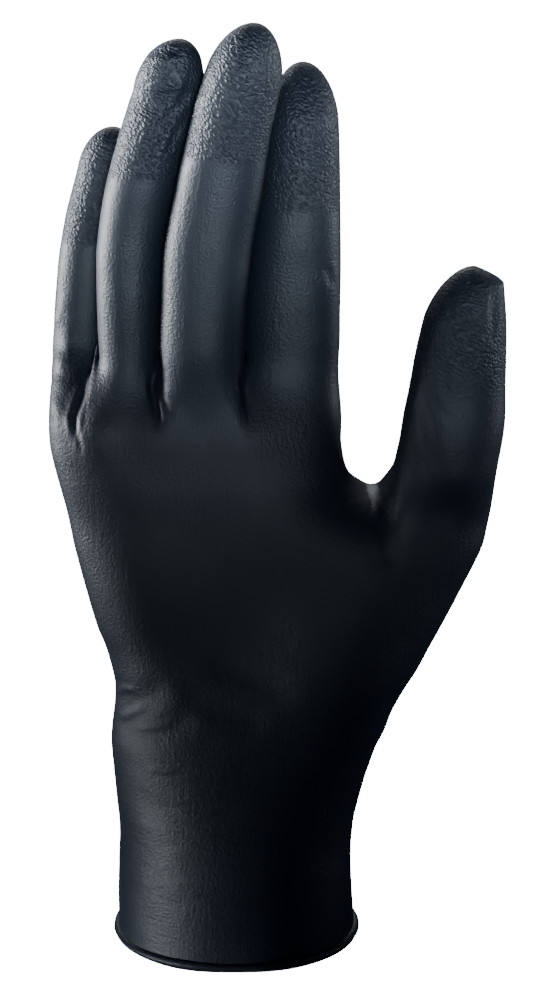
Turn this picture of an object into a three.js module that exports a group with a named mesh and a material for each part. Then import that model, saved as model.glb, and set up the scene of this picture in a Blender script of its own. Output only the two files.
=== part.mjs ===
// A disposable nitrile exam glove for the right hand, in the form it takes when worn.
// Millimetres, +Z up the hand, the palm faces -Y and the thumb points to +X.
// The origin is the middle of the cuff's mouth, level with the bottom of the rolled bead.
import * as THREE from 'three';
import { mergeVertices } from 'three/addons/utils/BufferGeometryUtils.js';

// Driving sizes in millimetres
const cuffWidth = 61;          // side to side at the mouth
const cuffDepth = 58;          // palm side to back at the mouth
const cuffLength = 60;         // mouth to the narrow wrist
const heelLength = 52;         // wrist to the fork of the thumb
const knuckleLength = 26;      // fork of the thumb to the fork of the fingers
const palmWidth = 74;          // across the knuckles
const palmDepth = 31;          // palm side to back at the knuckles
const palmShift = -10;         // the middle of the palm stands this far from the cuff's middle
const filmThickness = 1;       // wall, thicker than the real film so that it stays a solid
const beadRoll = 0.7;          // the rolled edge of the cuff stands this far from the middle of the wall
const thumbWebRise = 11;       // the thumb's web stands this far above its fork
const fingerWebRise = 13;      // and the fingers' webs above theirs

// Digits: length above the fork, width and depth of the stall, and its root's place across the hand
// as a share of palmWidth from the middle of the palm
// The middle finger and the thumb give their own place to the front as forth, a share of palmDepth
// The others stand behind a neighbour, by setBack or as far as the two outlines need to stay clear
const digits = {
  little: { length: 73, width: 14.4, depth: 14, root: -0.4, behind: 'ring', setBack: 7 },
  ring: { length: 97, width: 17, depth: 16, root: -0.22, behind: 'middle', setBack: 4 },
  middle: { length: 101.5, width: 22, depth: 17, root: 0.022, forth: -0.21 },
  index: { length: 90.4, width: 22.6, depth: 17, root: 0.324, behind: 'middle', setBack: 4 },
  thumb: { length: 68, width: 25, depth: 21, root: 0.824, forth: -0.21 },
};
// Above this share of its length a stall has level sections; below it grows out of the fork
const rootRun = { little: 0.27, ring: 0.2, middle: 0.2, index: 0.22, thumb: 0.25 };
const stallGap = 0.45;         // least distance between neighbouring fingers
const stallBlend = 1;          // over this distance a finger turns from standing behind to standing clear
const stallSquare = 2.2;       // 2 is an ellipse, more is squarer
const webSpread = 4.4;          // how briskly two stalls part above their web

// Webs between neighbouring digits: place across the hand on the palm side, at the top and on the back,
// as shares of palmWidth from the middle of the palm
const fingerWebs = [
  { front: -0.378, top: -0.324, back: -0.318 },
  { front: -0.126, top: -0.111, back: -0.108 },
  { front: 0.181, top: 0.168, back: 0.165 },
];
const thumbWeb = 0.601;

// Grid: segments round each finger's face, each side, the thumb's face, and rows along the tubes
const faceSteps = 4;
const sideSteps = 3;
const thumbSteps = 5;
const trunkRows = 24;
const knuckleRows = 3;
const webRows = 5;
const stallRows = 9;
const tipRows = 4;
const beadSteps = 6;
const cornerAngle = THREE.MathUtils.degToRad(16);    // where a face ends and a side begins at the forks

// Cuff: at is a share of cuffLength, left and right of cuffWidth, front and back of cuffDepth
// square is 2 for an ellipse and more for a squarer outline
const cuffSections = [
  { at: 0.03, left: -0.505, right: 0.495, front: -0.5, back: 0.5, square: 2.1 },
  { at: 0.13, left: -0.505, right: 0.49, front: -0.495, back: 0.495, square: 2.1 },
  { at: 0.32, left: -0.5, right: 0.483, front: -0.48, back: 0.48, square: 2.1 },
  { at: 0.5, left: -0.495, right: 0.488, front: -0.46, back: 0.455, square: 2.1 },
  { at: 0.68, left: -0.51, right: 0.526, front: -0.435, back: 0.42, square: 2.15 },
  { at: 0.87, left: -0.525, right: 0.58, front: -0.41, back: 0.38, square: 2.2 },
  { at: 0.96, left: -0.52, right: 0.62, front: -0.4, back: 0.365, square: 2.25 },
];

// Heel of the hand: at is a share of heelLength, left and right of palmWidth, front and back of palmDepth
const heelSections = [
  { at: 0.06, left: -0.288, right: 0.678, front: -0.73, back: 0.67, square: 2.3 },
  { at: 0.17, left: -0.284, right: 0.719, front: -0.71, back: 0.65, square: 2.35 },
  { at: 0.27, left: -0.296, right: 0.763, front: -0.69, back: 0.62, square: 2.4 },
  { at: 0.38, left: -0.316, right: 0.804, front: -0.67, back: 0.59, square: 2.4 },
  { at: 0.48, left: -0.343, right: 0.842, front: -0.65, back: 0.56, square: 2.4 },
  { at: 0.69, left: -0.385, right: 0.915, front: -0.62, back: 0.52, square: 2.5 },
  { at: 0.88, left: -0.418, right: 0.978, front: -0.58, back: 0.49, square: 2.65 },
  { at: 1, left: -0.434, right: 0.997, front: -0.55, back: 0.47, square: 2.75 },
];

// Palm above the thumb: at is a share of knuckleLength, the rest as in the heel
const palmSections = [
  { at: 0.5, left: -0.476, right: 0.515, front: -0.5, back: 0.43, square: 2.6 },
  { at: 0.75, left: -0.495, right: 0.495, front: -0.475, back: 0.41, square: 2.6 },
  { at: 1, left: -0.5, right: 0.495, front: -0.455, back: 0.4, square: 2.6 },
];

// Stalls: at is a share of the length, across and forward are shares of the length from the root's place,
// width and depth are shares of the stall's width and depth, before the tip closes them
const stallSections = {
  little: [
    { at: 0.27, across: 0.008, width: 1, depth: 1 },
    { at: 0.4, across: 0.018, width: 0.99, depth: 0.99 },
    { at: 0.55, across: 0.033, width: 0.98, depth: 0.97 },
    { at: 0.7, across: 0.06, width: 0.97, depth: 0.95 },
    { at: 0.85, across: 0.098, width: 0.95, depth: 0.92 },
    { at: 1, across: 0.128, width: 0.92, depth: 0.9 },
  ],
  ring: [
    { at: 0.2, across: 0, width: 0.92, depth: 1 },
    { at: 0.43, across: 0.004, width: 0.99, depth: 1 },
    { at: 0.52, across: 0.015, width: 1, depth: 0.98 },
    { at: 0.61, across: 0.032, width: 1.02, depth: 0.97 },
    { at: 0.7, across: 0.055, width: 1.02, depth: 0.95 },
    { at: 0.79, across: 0.08, width: 1.01, depth: 0.93 },
    { at: 0.87, across: 0.104, width: 0.99, depth: 0.9 },
    { at: 1, across: 0.126, width: 0.95, depth: 0.86 },
  ],
  middle: [
    { at: 0.2, across: 0.002, forward: -0.015, width: 0.97, depth: 1 },
    { at: 0.31, across: 0.007, forward: -0.02, width: 0.97, depth: 1 },
    { at: 0.43, across: 0.016, forward: -0.026, width: 1, depth: 0.98 },
    { at: 0.51, across: 0.028, forward: -0.03, width: 1, depth: 0.97 },
    { at: 0.59, across: 0.044, forward: -0.035, width: 0.985, depth: 0.96 },
    { at: 0.66, across: 0.057, forward: -0.04, width: 0.955, depth: 0.95 },
    { at: 0.73, across: 0.071, forward: -0.045, width: 0.92, depth: 0.94 },
    { at: 0.8, across: 0.086, forward: -0.05, width: 0.905, depth: 0.92 },
    { at: 0.86, across: 0.101, forward: -0.055, width: 0.88, depth: 0.9 },
    { at: 1, across: 0.123, forward: -0.065, width: 0.84, depth: 0.87 },
  ],
  index: [
    { at: 0.22, across: -0.001, width: 1.1, depth: 1 },
    { at: 0.32, across: 0.001, width: 1.07, depth: 1 },
    { at: 0.45, across: 0.008, width: 1.02, depth: 0.98 },
    { at: 0.56, across: 0.016, width: 0.95, depth: 0.97 },
    { at: 0.66, across: 0.023, width: 0.88, depth: 0.95 },
    { at: 0.76, across: 0.028, width: 0.82, depth: 0.93 },
    { at: 0.86, across: 0.033, width: 0.75, depth: 0.9 },
    { at: 1, across: 0.03, width: 0.71, depth: 0.86 },
  ],
  thumb: [
    { at: 0.25, across: 0.01, forward: -0.03, width: 1.05, depth: 1 },
    { at: 0.36, across: 0.038, forward: -0.045, width: 1.02, depth: 0.96 },
    { at: 0.51, across: 0.053, forward: -0.06, width: 0.985, depth: 0.92 },
    { at: 0.66, across: 0.065, forward: -0.07, width: 0.9, depth: 0.88 },
    { at: 0.8, across: 0.08, forward: -0.08, width: 0.82, depth: 0.84 },
    { at: 0.9, across: 0.087, forward: -0.085, width: 0.74, depth: 0.78 },
    { at: 1, across: 0.092, forward: -0.09, width: 0.66, depth: 0.72 },
  ],
};

// Soft swells and hollows: across is a share of palmWidth from the middle of the palm, up of the whole palm's
// height from the mouth to the fingers' fork, wide of palmWidth, tall of that height and rise of palmDepth
const swells = [
  { side: 'palm', across: 0.52, up: 0.6, wide: 0.24, tall: 0.2, rise: 0.16 },
  { side: 'palm', across: -0.24, up: 0.66, wide: 0.18, tall: 0.18, rise: 0.06 },
  { side: 'palm', across: 0.06, up: 0.72, wide: 0.22, tall: 0.16, rise: -0.06 },
  { side: 'palm', across: -0.34, up: 0.985, wide: 0.07, tall: 0.05, rise: 0.05 },
  { side: 'palm', across: -0.11, up: 0.985, wide: 0.08, tall: 0.05, rise: 0.05 },
  { side: 'palm', across: 0.17, up: 0.985, wide: 0.09, tall: 0.05, rise: 0.04 },
  { side: 'back', across: -0.38, up: 0.94, wide: 0.08, tall: 0.07, rise: 0.02 },
  { side: 'back', across: -0.19, up: 0.96, wide: 0.08, tall: 0.07, rise: 0.03 },
  { side: 'back', across: 0.04, up: 0.97, wide: 0.09, tall: 0.07, rise: 0.035 },
  { side: 'back', across: 0.32, up: 0.95, wide: 0.1, tall: 0.07, rise: 0.03 },
];

// Broad folds from one end to the other, in the same shares, with the half width and depth of the trough
const folds = [
  { side: 'palm', across: -0.3, up: 0.42, toAcross: -0.14, toUp: 0.52, half: 0.04, deep: 0.05 },
  { side: 'palm', across: -0.22, up: 0.43, toAcross: -0.05, toUp: 0.465, half: 0.04, deep: 0.04 },
  { side: 'palm', across: 0.1, up: 0.575, toAcross: 0.27, toUp: 0.535, half: 0.045, deep: 0.035 },
  { side: 'palm', across: 0, up: 0.51, toAcross: 0.18, toUp: 0.48, half: 0.04, deep: 0.03 },
  { side: 'palm', across: -0.17, up: 0.3, toAcross: 0.1, toUp: 0.305, half: 0.04, deep: 0.02 },
  { side: 'palm', across: 0.62, up: 0.93, toAcross: 0.64, toUp: 0.78, half: 0.035, deep: 0.05 },
  { side: 'palm', across: 0.74, up: 1.02, toAcross: 0.84, toUp: 0.86, half: 0.04, deep: 0.045 },
  { side: 'back', across: -0.28, up: 0.44, toAcross: -0.05, toUp: 0.47, half: 0.05, deep: 0.04 },
  { side: 'back', across: 0.1, up: 0.5, toAcross: 0.34, toUp: 0.46, half: 0.05, deep: 0.04 },
  { side: 'back', across: 0.5, up: 0.9, toAcross: 0.52, toUp: 0.76, half: 0.04, deep: 0.04 },
];

// Rounds and share of smoothing where the tubes fork, and how far it reaches round the thumb's and fingers' forks
const softRounds = 4;
const softShare = 0.5;
const softHeight = 0.135 * palmWidth;
const softFingers = 0.095 * palmWidth;
const softWidth = 0.175 * palmWidth;

// Tips: run is the length over which the tip closes, as a share of the stall's width, and lean moves its top
// to the right by a share of half that width. The thumb's nail side closes in a short corner of its own
const tips = {
  little: { run: 0.64, lean: 0 },
  ring: { run: 0.66, lean: 0.1 },
  middle: { run: 0.68, lean: 0.08 },
  index: { run: 0.64, lean: 0 },
  thumb: { run: 0.57, lean: 0.2, cornerRun: 0.17, cornerBend: 1.5 },
};

const beadRadius = filmThickness / 2 + beadRoll;
const forkHeight = cuffLength + heelLength;
const fingerForkHeight = forkHeight + knuckleLength;
const filmStart = beadRadius + Math.sqrt(beadRadius ** 2 - (filmThickness / 2) ** 2);

// A smooth curve through the rows of a table, one value for each column
function tableAt(rows, at) {
  let i = rows.findIndex((row) => row.at > at);
  if (i < 0) i = rows.length - 1;
  i = Math.max(i, 1);
  const [a, b] = [rows[i - 1], rows[i]];
  const before = rows[i - 2] ?? a;
  const after = rows[i + 1] ?? b;
  const span = b.at - a.at;
  const t = THREE.MathUtils.clamp((at - a.at) / span, 0, 1);
  const result = {};
  for (const key of Object.keys(a)) {
    const startSlope = (b[key] - before[key]) / (b.at - before.at);
    const endSlope = (after[key] - a[key]) / (after.at - a.at);
    result[key] = hermite(a[key], startSlope * span, b[key], endSlope * span, t);
  }
  return result;
}

function hermite(start, startSlope, end, endSlope, t) {
  return start * (2 * t ** 3 - 3 * t ** 2 + 1) + startSlope * (t ** 3 - 2 * t ** 2 + t)
    + end * (3 * t ** 2 - 2 * t ** 3) + endSlope * (t ** 3 - t ** 2);
}

// A level section of the trunk or palm with its edges in millimetres
function placed(row, base, length, width, depth, shift) {
  return {
    at: base + row.at * length,
    left: shift + row.left * width,
    right: shift + row.right * width,
    front: row.front * depth,
    back: row.back * depth,
    square: row.square,
  };
}

const trunkTable = [
  ...cuffSections.map((row) => placed(row, 0, cuffLength, cuffWidth, cuffDepth, 0)),
  ...heelSections.map((row) => placed(row, cuffLength, heelLength, palmWidth, palmDepth, palmShift)),
];
const palmTable = palmSections.map(
  (row) => placed(row, forkHeight, knuckleLength, palmWidth, palmDepth, palmShift),
);

// A point of a section's rounded outline: angle 0 is the right side and grows through the back
function outlinePoint(section, angle) {
  const reach = (share) => (1 + Math.sign(share) * Math.abs(share) ** (2 / section.square)) / 2;
  return new THREE.Vector3(
    THREE.MathUtils.lerp(section.left, section.right, reach(Math.cos(angle))),
    THREE.MathUtils.lerp(section.front, section.back, reach(Math.sin(angle))),
    section.at,
  );
}

// The angle at which the section's face stands at a given x, on the back or, mirrored, on the palm side
function angleAtX(section, x) {
  const u = (2 * x - section.left - section.right) / (section.right - section.left);
  return Math.acos(Math.sign(u) * Math.abs(u) ** (section.square / 2));
}

// Angles of a loop: along the palm side, round the right side, along the back and round the left side
function loopAngles(frontAngles, backAngles) {
  const angles = [...frontAngles];
  const side = (from, to) => {
    for (let i = 1; i < sideSteps; i++) angles.push(from + (to - from) * i / sideSteps);
  };
  side(frontAngles.at(-1), backAngles[0]);
  angles.push(...backAngles);
  side(backAngles.at(-1), frontAngles[0] + 2 * Math.PI);
  return angles;
}

// Face angles that line up with given stations across the section, a few steps between each two
function faceAngles(section, stations, steps, corner) {
  const angles = [];
  const ends = [Math.PI - corner, ...stations.map((x) => angleAtX(section, x)), corner];
  for (let i = 0; i + 1 < ends.length; i++) {
    for (let k = 0; k < steps[i]; k++) angles.push(ends[i] + (ends[i + 1] - ends[i]) * k / steps[i]);
  }
  angles.push(corner);
  return angles;
}

const fingerSteps = [faceSteps, faceSteps, faceSteps, faceSteps];

function forkAngles(section, webX, steps) {
  const front = faceAngles(section, webX.front, steps, cornerAngle).map((angle) => -angle);
  const back = faceAngles(section, webX.back, steps, cornerAngle).reverse();
  return loopAngles(front, back);
}

const acrossPalm = (share) => palmShift + share * palmWidth;
const thumbWebX = acrossPalm(thumbWeb);
const palmWebX = {
  front: fingerWebs.map((web) => acrossPalm(web.front)),
  back: fingerWebs.map((web) => acrossPalm(web.back)),
};
const trunkWebX = { front: [...palmWebX.front, thumbWebX], back: [...palmWebX.back, thumbWebX] };

// The trunk's columns stand evenly round the cuff and turn towards the webs as they rise
function trunkLoops() {
  const top = tableAt(trunkTable, forkHeight);
  const topAngles = forkAngles(top, trunkWebX, [...fingerSteps, thumbSteps]);
  const count = topAngles.length;
  const firstAngle = -Math.PI + Math.PI * sideSteps / count;
  const loops = [];
  for (let row = 0; row <= trunkRows; row++) {
    const height = filmStart + (forkHeight - filmStart) * row / trunkRows;
    const section = tableAt(trunkTable, height);
    section.at = height;
    const turn = THREE.MathUtils.smoothstep(height, 0, forkHeight);
    loops.push(topAngles.map((angle, i) => {
      const even = firstAngle + 2 * Math.PI * i / count;
      return outlinePoint(section, even + (angle - even) * turn);
    }));
  }
  return loops;
}

// An arch that carries the film from the palm side over a web to the back
function webArch(front, back, topX, rise) {
  const arch = [];
  for (let i = 0; i <= sideSteps; i++) {
    const angle = Math.PI * i / sideSteps;
    const point = front.clone().lerp(back, (1 - Math.cos(angle)) / 2);
    point.x += (topX - (front.x + back.x) / 2) * Math.sin(angle);
    point.z += rise * Math.sin(angle);
    arch.push(point);
  }
  return arch;
}

// Loops that carry a forked border into the first level section of a tube
// Web points leave sideways into their own tube, all others go on as the film below them
function rootLoops(border, slopes, ring, ringSlopes) {
  const loops = [];
  const middle = ring.reduce((sum, point) => sum + point.x, 0) / ring.length;
  for (let row = 0; row < webRows; row++) {
    const t = row / webRows;
    loops.push(border.map((start, i) => {
      const end = ring[i];
      const rise = end.z - start.z;
      const from = slopes[i].isWeb
        ? new THREE.Vector3(Math.sign(middle - start.x) * webSpread, (end.y - start.y) * 0.4, rise * 0.3)
        : slopes[i].clone().multiplyScalar(rise);
      const into = ringSlopes[i].clone().multiplyScalar(rise);
      return new THREE.Vector3(
        hermite(start.x, from.x, end.x, into.x, t),
        hermite(start.y, from.y, end.y, into.y, t),
        hermite(start.z, from.z, end.z, into.z, t),
      );
    }));
  }
  return loops;
}

// Movement of each point for one millimetre of rise between two loops
function slopesBetween(low, high) {
  return low.map((point, i) => high[i].clone().sub(point).divideScalar(high[i].z - point.z));
}

function markWebs(slopes, first) {
  for (let i = 1; i < sideSteps; i++) slopes[first + i].isWeb = true;
}

// A larger value that turns softly from one to the other
function softMax(a, b, blend) {
  return (a + b + Math.hypot(a - b, blend)) / 2;
}

function forkOf(name) {
  return name === 'thumb' ? forkHeight : fingerForkHeight;
}

// Middle and half sizes of a stall at a height, before its tip closes it
// Two rounded outlines stay clear when their middles lie outside the outline of their summed half sizes
function stallAxis(name, height) {
  const digit = digits[name];
  const row = tableAt(stallSections[name], (height - forkOf(name)) / digit.length);
  const axis = {
    x: acrossPalm(digit.root) + row.across * digit.length,
    halfWidth: row.width * digit.width / 2,
    halfDepth: row.depth * digit.depth / 2,
  };
  if (digit.behind) {
    const front = stallAxis(digit.behind, height);
    const width = axis.halfWidth + front.halfWidth + stallGap;
    const depth = axis.halfDepth + front.halfDepth + stallGap;
    const beside = Math.min(Math.abs(axis.x - front.x) / width, 1) ** stallSquare;
    axis.y = front.y + softMax(digit.setBack, depth * (1 - beside) ** (1 / stallSquare), stallBlend);
  } else {
    axis.y = digit.forth * palmDepth + row.forward * digit.length;
  }
  return axis;
}

function stallSection(name, height) {
  const digit = digits[name];
  const axis = stallAxis(name, height);
  const tip = tips[name];
  const closedOver = (share) => {
    const run = share * digit.width;
    return THREE.MathUtils.clamp((height - forkOf(name) - digit.length + run) / run, 0, 1);
  };
  const open = Math.sqrt(1 - closedOver(tip.run) ** 2);
  const openRight = tip.cornerRun ? 1 - closedOver(tip.cornerRun) ** tip.cornerBend : open;
  return {
    at: height,
    left: axis.x + axis.halfWidth * (tip.lean - (1 + tip.lean) * open),
    right: axis.x + axis.halfWidth * (tip.lean + (1 - tip.lean) * openRight),
    front: axis.y - axis.halfDepth * open,
    back: axis.y + axis.halfDepth * open,
    square: stallSquare,
  };
}

// One stall from its forked border to its closed tip
function stallLoops(name, border, slopes, frontSteps) {
  const digit = digits[name];
  const base = forkOf(name);
  const count = 2 * (frontSteps + sideSteps);
  const first = -Math.PI + Math.PI * sideSteps / count;
  const loopAt = (height) => {
    const section = stallSection(name, height);
    return border.map((_, i) => outlinePoint(section, first + 2 * Math.PI * i / count));
  };
  const ringHeight = base + rootRun[name] * digit.length;
  const tip = base + digit.length;
  const domeStart = tip - tips[name].run * digit.width;
  const ring = loopAt(ringHeight);
  const loops = rootLoops(border, slopes, ring, slopesBetween(ring, loopAt(ringHeight + 1)));
  for (let row = 0; row < stallRows; row++) {
    loops.push(loopAt(ringHeight + (domeStart - ringHeight) * row / stallRows));
  }
  for (let row = 0; row < tipRows; row++) {
    loops.push(loopAt(domeStart + (tip - domeStart) * Math.sin(Math.PI / 2 * row / tipRows)));
  }
  const end = outlinePoint(stallSection(name, tip), 0);
  loops.push(border.map(() => end.clone()));
  return loops;
}

// All tubes of the outer face, as lists of loops that share their borders
function gloveTubes() {
  const trunk = trunkLoops();
  const top = trunk.at(-1);
  const below = slopesBetween(trunk.at(-2), top);
  const palmFaces = 4 * faceSteps;
  const backStart = palmFaces + thumbSteps + sideSteps;
  const thumbArch = webArch(top[palmFaces], top[backStart + thumbSteps], thumbWebX, thumbWebRise);
  const archSlope = () => new THREE.Vector3(0, 0, 1);
  const inner = thumbArch.slice(1, -1);

  // Thumb: the web comes first in its loop's left side, so its loop starts with the palm side
  const thumbBorder = [...top.slice(palmFaces, backStart + thumbSteps + 1), ...inner.slice().reverse()];
  const thumbSlopes = [...below.slice(palmFaces, backStart + thumbSteps + 1), ...inner.map(archSlope)];
  markWebs(thumbSlopes, thumbBorder.length - sideSteps);
  const thumb = stallLoops('thumb', thumbBorder, thumbSlopes, thumbSteps);

  // Upper palm
  const palmBorder = [...top.slice(0, palmFaces + 1), ...inner, ...top.slice(backStart + thumbSteps)];
  const palmSlopes = [
    ...below.slice(0, palmFaces + 1), ...inner.map(archSlope), ...below.slice(backStart + thumbSteps),
  ];
  markWebs(palmSlopes, palmFaces);
  const palmLoopAt = (height) => {
    const section = tableAt(palmTable, height);
    section.at = height;
    return forkAngles(section, palmWebX, fingerSteps).map((angle) => outlinePoint(section, angle));
  };
  const palmStart = palmTable[0].at;
  const palmRing = palmLoopAt(palmStart);
  const palmRise = slopesBetween(palmRing, palmLoopAt(palmStart + 1));
  const palm = rootLoops(palmBorder, palmSlopes, palmRing, palmRise);
  for (let row = 0; row <= knuckleRows; row++) {
    palm.push(palmLoopAt(palmStart + (fingerForkHeight - palmStart) * row / knuckleRows));
  }

  // Fingers, from the little finger to the index finger
  const knuckles = palm.at(-1);
  const knuckleSlopes = slopesBetween(palm.at(-2), knuckles);
  const last = 2 * palmFaces + sideSteps;
  const arches = fingerWebs.map((web, i) => {
    const front = (i + 1) * faceSteps;
    return webArch(knuckles[front], knuckles[last - front], acrossPalm(web.top), fingerWebRise);
  });
  const fingers = ['little', 'ring', 'middle', 'index'].map((name, i) => {
    const front = i * faceSteps;
    const face = (list) => list.slice(front, front + faceSteps + 1);
    const back = (list) => list.slice(last - front - faceSteps, last - front + 1);
    const rightSide = (list, web) => (i < 3 ? web : list.slice(palmFaces + 1, palmFaces + sideSteps));
    const leftSide = (list, web) => (i > 0 ? web : list.slice(last + 1));
    const rightArch = i < 3 ? arches[i].slice(1, -1) : [];
    const leftArch = i > 0 ? arches[i - 1].slice(1, -1).reverse() : [];
    const border = [
      ...face(knuckles), ...rightSide(knuckles, rightArch),
      ...back(knuckles), ...leftSide(knuckles, leftArch),
    ];
    const slopes = [
      ...face(knuckleSlopes), ...rightSide(knuckleSlopes, rightArch.map(archSlope)),
      ...back(knuckleSlopes), ...leftSide(knuckleSlopes, leftArch.map(archSlope)),
    ];
    if (i < 3) markWebs(slopes, faceSteps);
    if (i > 0) markWebs(slopes, border.length - sideSteps);
    return stallLoops(name, border, slopes, faceSteps);
  });
  return { trunk, others: [palm, thumb, ...fingers] };
}

// Two triangles for each cell between neighbouring loops, leaving out those that shrink to a line
function stitch(loops, positions) {
  for (let row = 0; row + 1 < loops.length; row++) {
    const [low, high] = [loops[row], loops[row + 1]];
    for (let i = 0; i < low.length; i++) {
      const next = (i + 1) % low.length;
      const corners = [low[i], low[next], high[next], high[i]];
      for (const [a, b, c] of [[0, 1, 2], [0, 2, 3]]) {
        const [p, q, r] = [corners[a], corners[b], corners[c]];
        if (p.equals(q) || q.equals(r) || r.equals(p)) continue;
        positions.push(...p.toArray(), ...q.toArray(), ...r.toArray());
      }
    }
  }
}

function indexed(positions) {
  const geometry = new THREE.BufferGeometry();
  geometry.setAttribute('position', new THREE.Float32BufferAttribute(positions, 3));
  const merged = mergeVertices(geometry, 1e-3);
  merged.computeVertexNormals();
  return merged;
}

// How far a point lies inside a rounded bump of unit height
function bump(distance) {
  return Math.exp(-(distance ** 2));
}

// The forks are softened: each point near them moves towards the middle of its neighbours, a few rounds over
function softenForks(geometry) {
  const place = geometry.getAttribute('position');
  const faces = geometry.getIndex().array;
  const neighbours = Array.from({ length: place.count }, () => new Set());
  for (let i = 0; i < faces.length; i += 3) {
    for (let k = 0; k < 3; k++) {
      neighbours[faces[i + k]].add(faces[i + (k + 1) % 3]);
      neighbours[faces[i + (k + 1) % 3]].add(faces[i + k]);
    }
  }
  for (let round = 0; round < softRounds; round++) {
    const moved = [];
    for (let i = 0; i < place.count; i++) {
      const point = new THREE.Vector3().fromBufferAttribute(place, i);
      const mean = new THREE.Vector3();
      for (const k of neighbours[i]) mean.add(new THREE.Vector3().fromBufferAttribute(place, k));
      mean.divideScalar(neighbours[i].size);
      const byThumb = bump((point.z - forkHeight - thumbWebRise / 2) / softHeight)
        * bump((point.x - thumbWebX) / softWidth);
      const byFingers = bump((point.z - fingerForkHeight - fingerWebRise / 2) / softFingers);
      moved.push(point.lerp(mean, softShare * Math.max(byThumb, byFingers)));
    }
    moved.forEach((point, i) => place.setXYZ(i, ...point.toArray()));
  }
  geometry.computeVertexNormals();
}

// Swells and folds push each point out or in along its normal
function reliefAt(point, normal) {
  const across = (point.x - palmShift) / palmWidth;
  const up = point.z / fingerForkHeight;
  let rise = 0;
  for (const swell of swells) {
    const facing = swell.side === 'palm' ? -normal.y : normal.y;
    if (facing <= 0) continue;
    const away = Math.hypot((across - swell.across) / swell.wide, (up - swell.up) / swell.tall);
    rise += swell.rise * facing * bump(away);
  }
  const aspect = fingerForkHeight / palmWidth;
  for (const fold of folds) {
    const facing = fold.side === 'palm' ? -normal.y : normal.y;
    if (facing <= 0) continue;
    const [dx, dz] = [fold.toAcross - fold.across, (fold.toUp - fold.up) * aspect];
    const [px, pz] = [across - fold.across, (up - fold.up) * aspect];
    const share = THREE.MathUtils.clamp((px * dx + pz * dz) / (dx * dx + dz * dz), 0, 1);
    const away = Math.hypot(px - share * dx, pz - share * dz);
    rise -= fold.deep * Math.sqrt(facing) * bump(away / fold.half);
  }
  return rise * palmDepth;
}

function raiseRelief(geometry) {
  const place = geometry.getAttribute('position');
  const normal = geometry.getAttribute('normal');
  for (let i = 0; i < place.count; i++) {
    const point = new THREE.Vector3().fromBufferAttribute(place, i);
    const out = new THREE.Vector3().fromBufferAttribute(normal, i);
    point.addScaledVector(out, reliefAt(point, out));
    place.setXYZ(i, ...point.toArray());
  }
  geometry.computeVertexNormals();
}

function nearestVertex(place, point) {
  let best = 0;
  let least = Infinity;
  for (let i = 0; i < place.count; i++) {
    const distance = point.distanceTo(new THREE.Vector3().fromBufferAttribute(place, i));
    if (distance < least) [best, least] = [i, distance];
  }
  return best;
}

// The film: the outer face, the same face moved in by the wall, and the rolled bead that joins them
function makeGlove() {
  const { trunk, others } = gloveTubes();
  const outerPositions = [];
  for (const loops of [trunk, ...others]) stitch(loops, outerPositions);
  const outer = indexed(outerPositions);
  const place = outer.getAttribute('position');
  const normal = outer.getAttribute('normal');
  const mouth = trunk[0].map((point) => nearestVertex(place, point));
  softenForks(outer);
  raiseRelief(outer);
  const positions = [];
  const faces = outer.getIndex().array;
  const inset = (i) => [0, 1, 2].map(
    (k) => place.getComponent(i, k) - filmThickness * normal.getComponent(i, k),
  );
  for (let i = 0; i < faces.length; i += 3) {
    const corners = [faces[i], faces[i + 1], faces[i + 2]];
    for (const k of corners) positions.push(place.getX(k), place.getY(k), place.getZ(k));
    for (const k of corners.slice().reverse()) positions.push(...inset(k));
  }
  const beadColumns = mouth.map((i) => {
    const from = new THREE.Vector3().fromBufferAttribute(place, i);
    const to = new THREE.Vector3(...inset(i));
    const out = from.clone().sub(to).setZ(0).normalize();
    const centre = from.clone().add(to).multiplyScalar(0.5).setZ(beadRadius);
    const start = Math.acos(filmThickness / 2 / beadRadius);
    const column = [from];
    for (let step = 1; step < beadSteps; step++) {
      const angle = start - (Math.PI + 2 * start) * step / beadSteps;
      const point = centre.clone().addScaledVector(out, beadRadius * Math.cos(angle));
      column.push(point.setZ(beadRadius * (1 + Math.sin(angle))));
    }
    column.push(to);
    return column;
  });
  const beadLoops = [];
  for (let step = beadSteps; step >= 0; step--) beadLoops.push(beadColumns.map((column) => column[step]));
  stitch(beadLoops, positions);
  const geometry = indexed(positions);
  geometry.computeVertexNormals();
  const material = new THREE.MeshStandardMaterial({ color: 0x14181e, roughness: 0.42, metalness: 0 });
  const mesh = new THREE.Mesh(geometry, material);
  mesh.name = 'glove';
  return mesh;
}

const model = new THREE.Group();
model.add(makeGlove());

export default model;
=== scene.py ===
# A black nitrile exam glove for the right hand, in the form it takes when worn:
# one dipped film with a gripping texture on its ends, and the roll that stiffens its cuff
import math
import bpy
import numpy as np
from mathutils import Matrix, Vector


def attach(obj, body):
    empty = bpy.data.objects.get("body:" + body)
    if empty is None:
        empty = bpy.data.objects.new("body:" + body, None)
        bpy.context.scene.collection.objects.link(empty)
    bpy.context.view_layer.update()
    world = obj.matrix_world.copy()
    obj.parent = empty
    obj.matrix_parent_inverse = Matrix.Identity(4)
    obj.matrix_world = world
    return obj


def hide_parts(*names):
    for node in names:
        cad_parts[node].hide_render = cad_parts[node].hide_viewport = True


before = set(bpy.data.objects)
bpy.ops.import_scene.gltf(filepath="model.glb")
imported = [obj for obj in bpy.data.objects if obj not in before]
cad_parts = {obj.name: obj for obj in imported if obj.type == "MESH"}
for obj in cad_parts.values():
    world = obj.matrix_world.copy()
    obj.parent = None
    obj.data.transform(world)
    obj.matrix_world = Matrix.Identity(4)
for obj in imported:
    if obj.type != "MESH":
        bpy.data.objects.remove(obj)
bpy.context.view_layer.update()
print("frame loaded")

millimetre = 0.001

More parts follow.
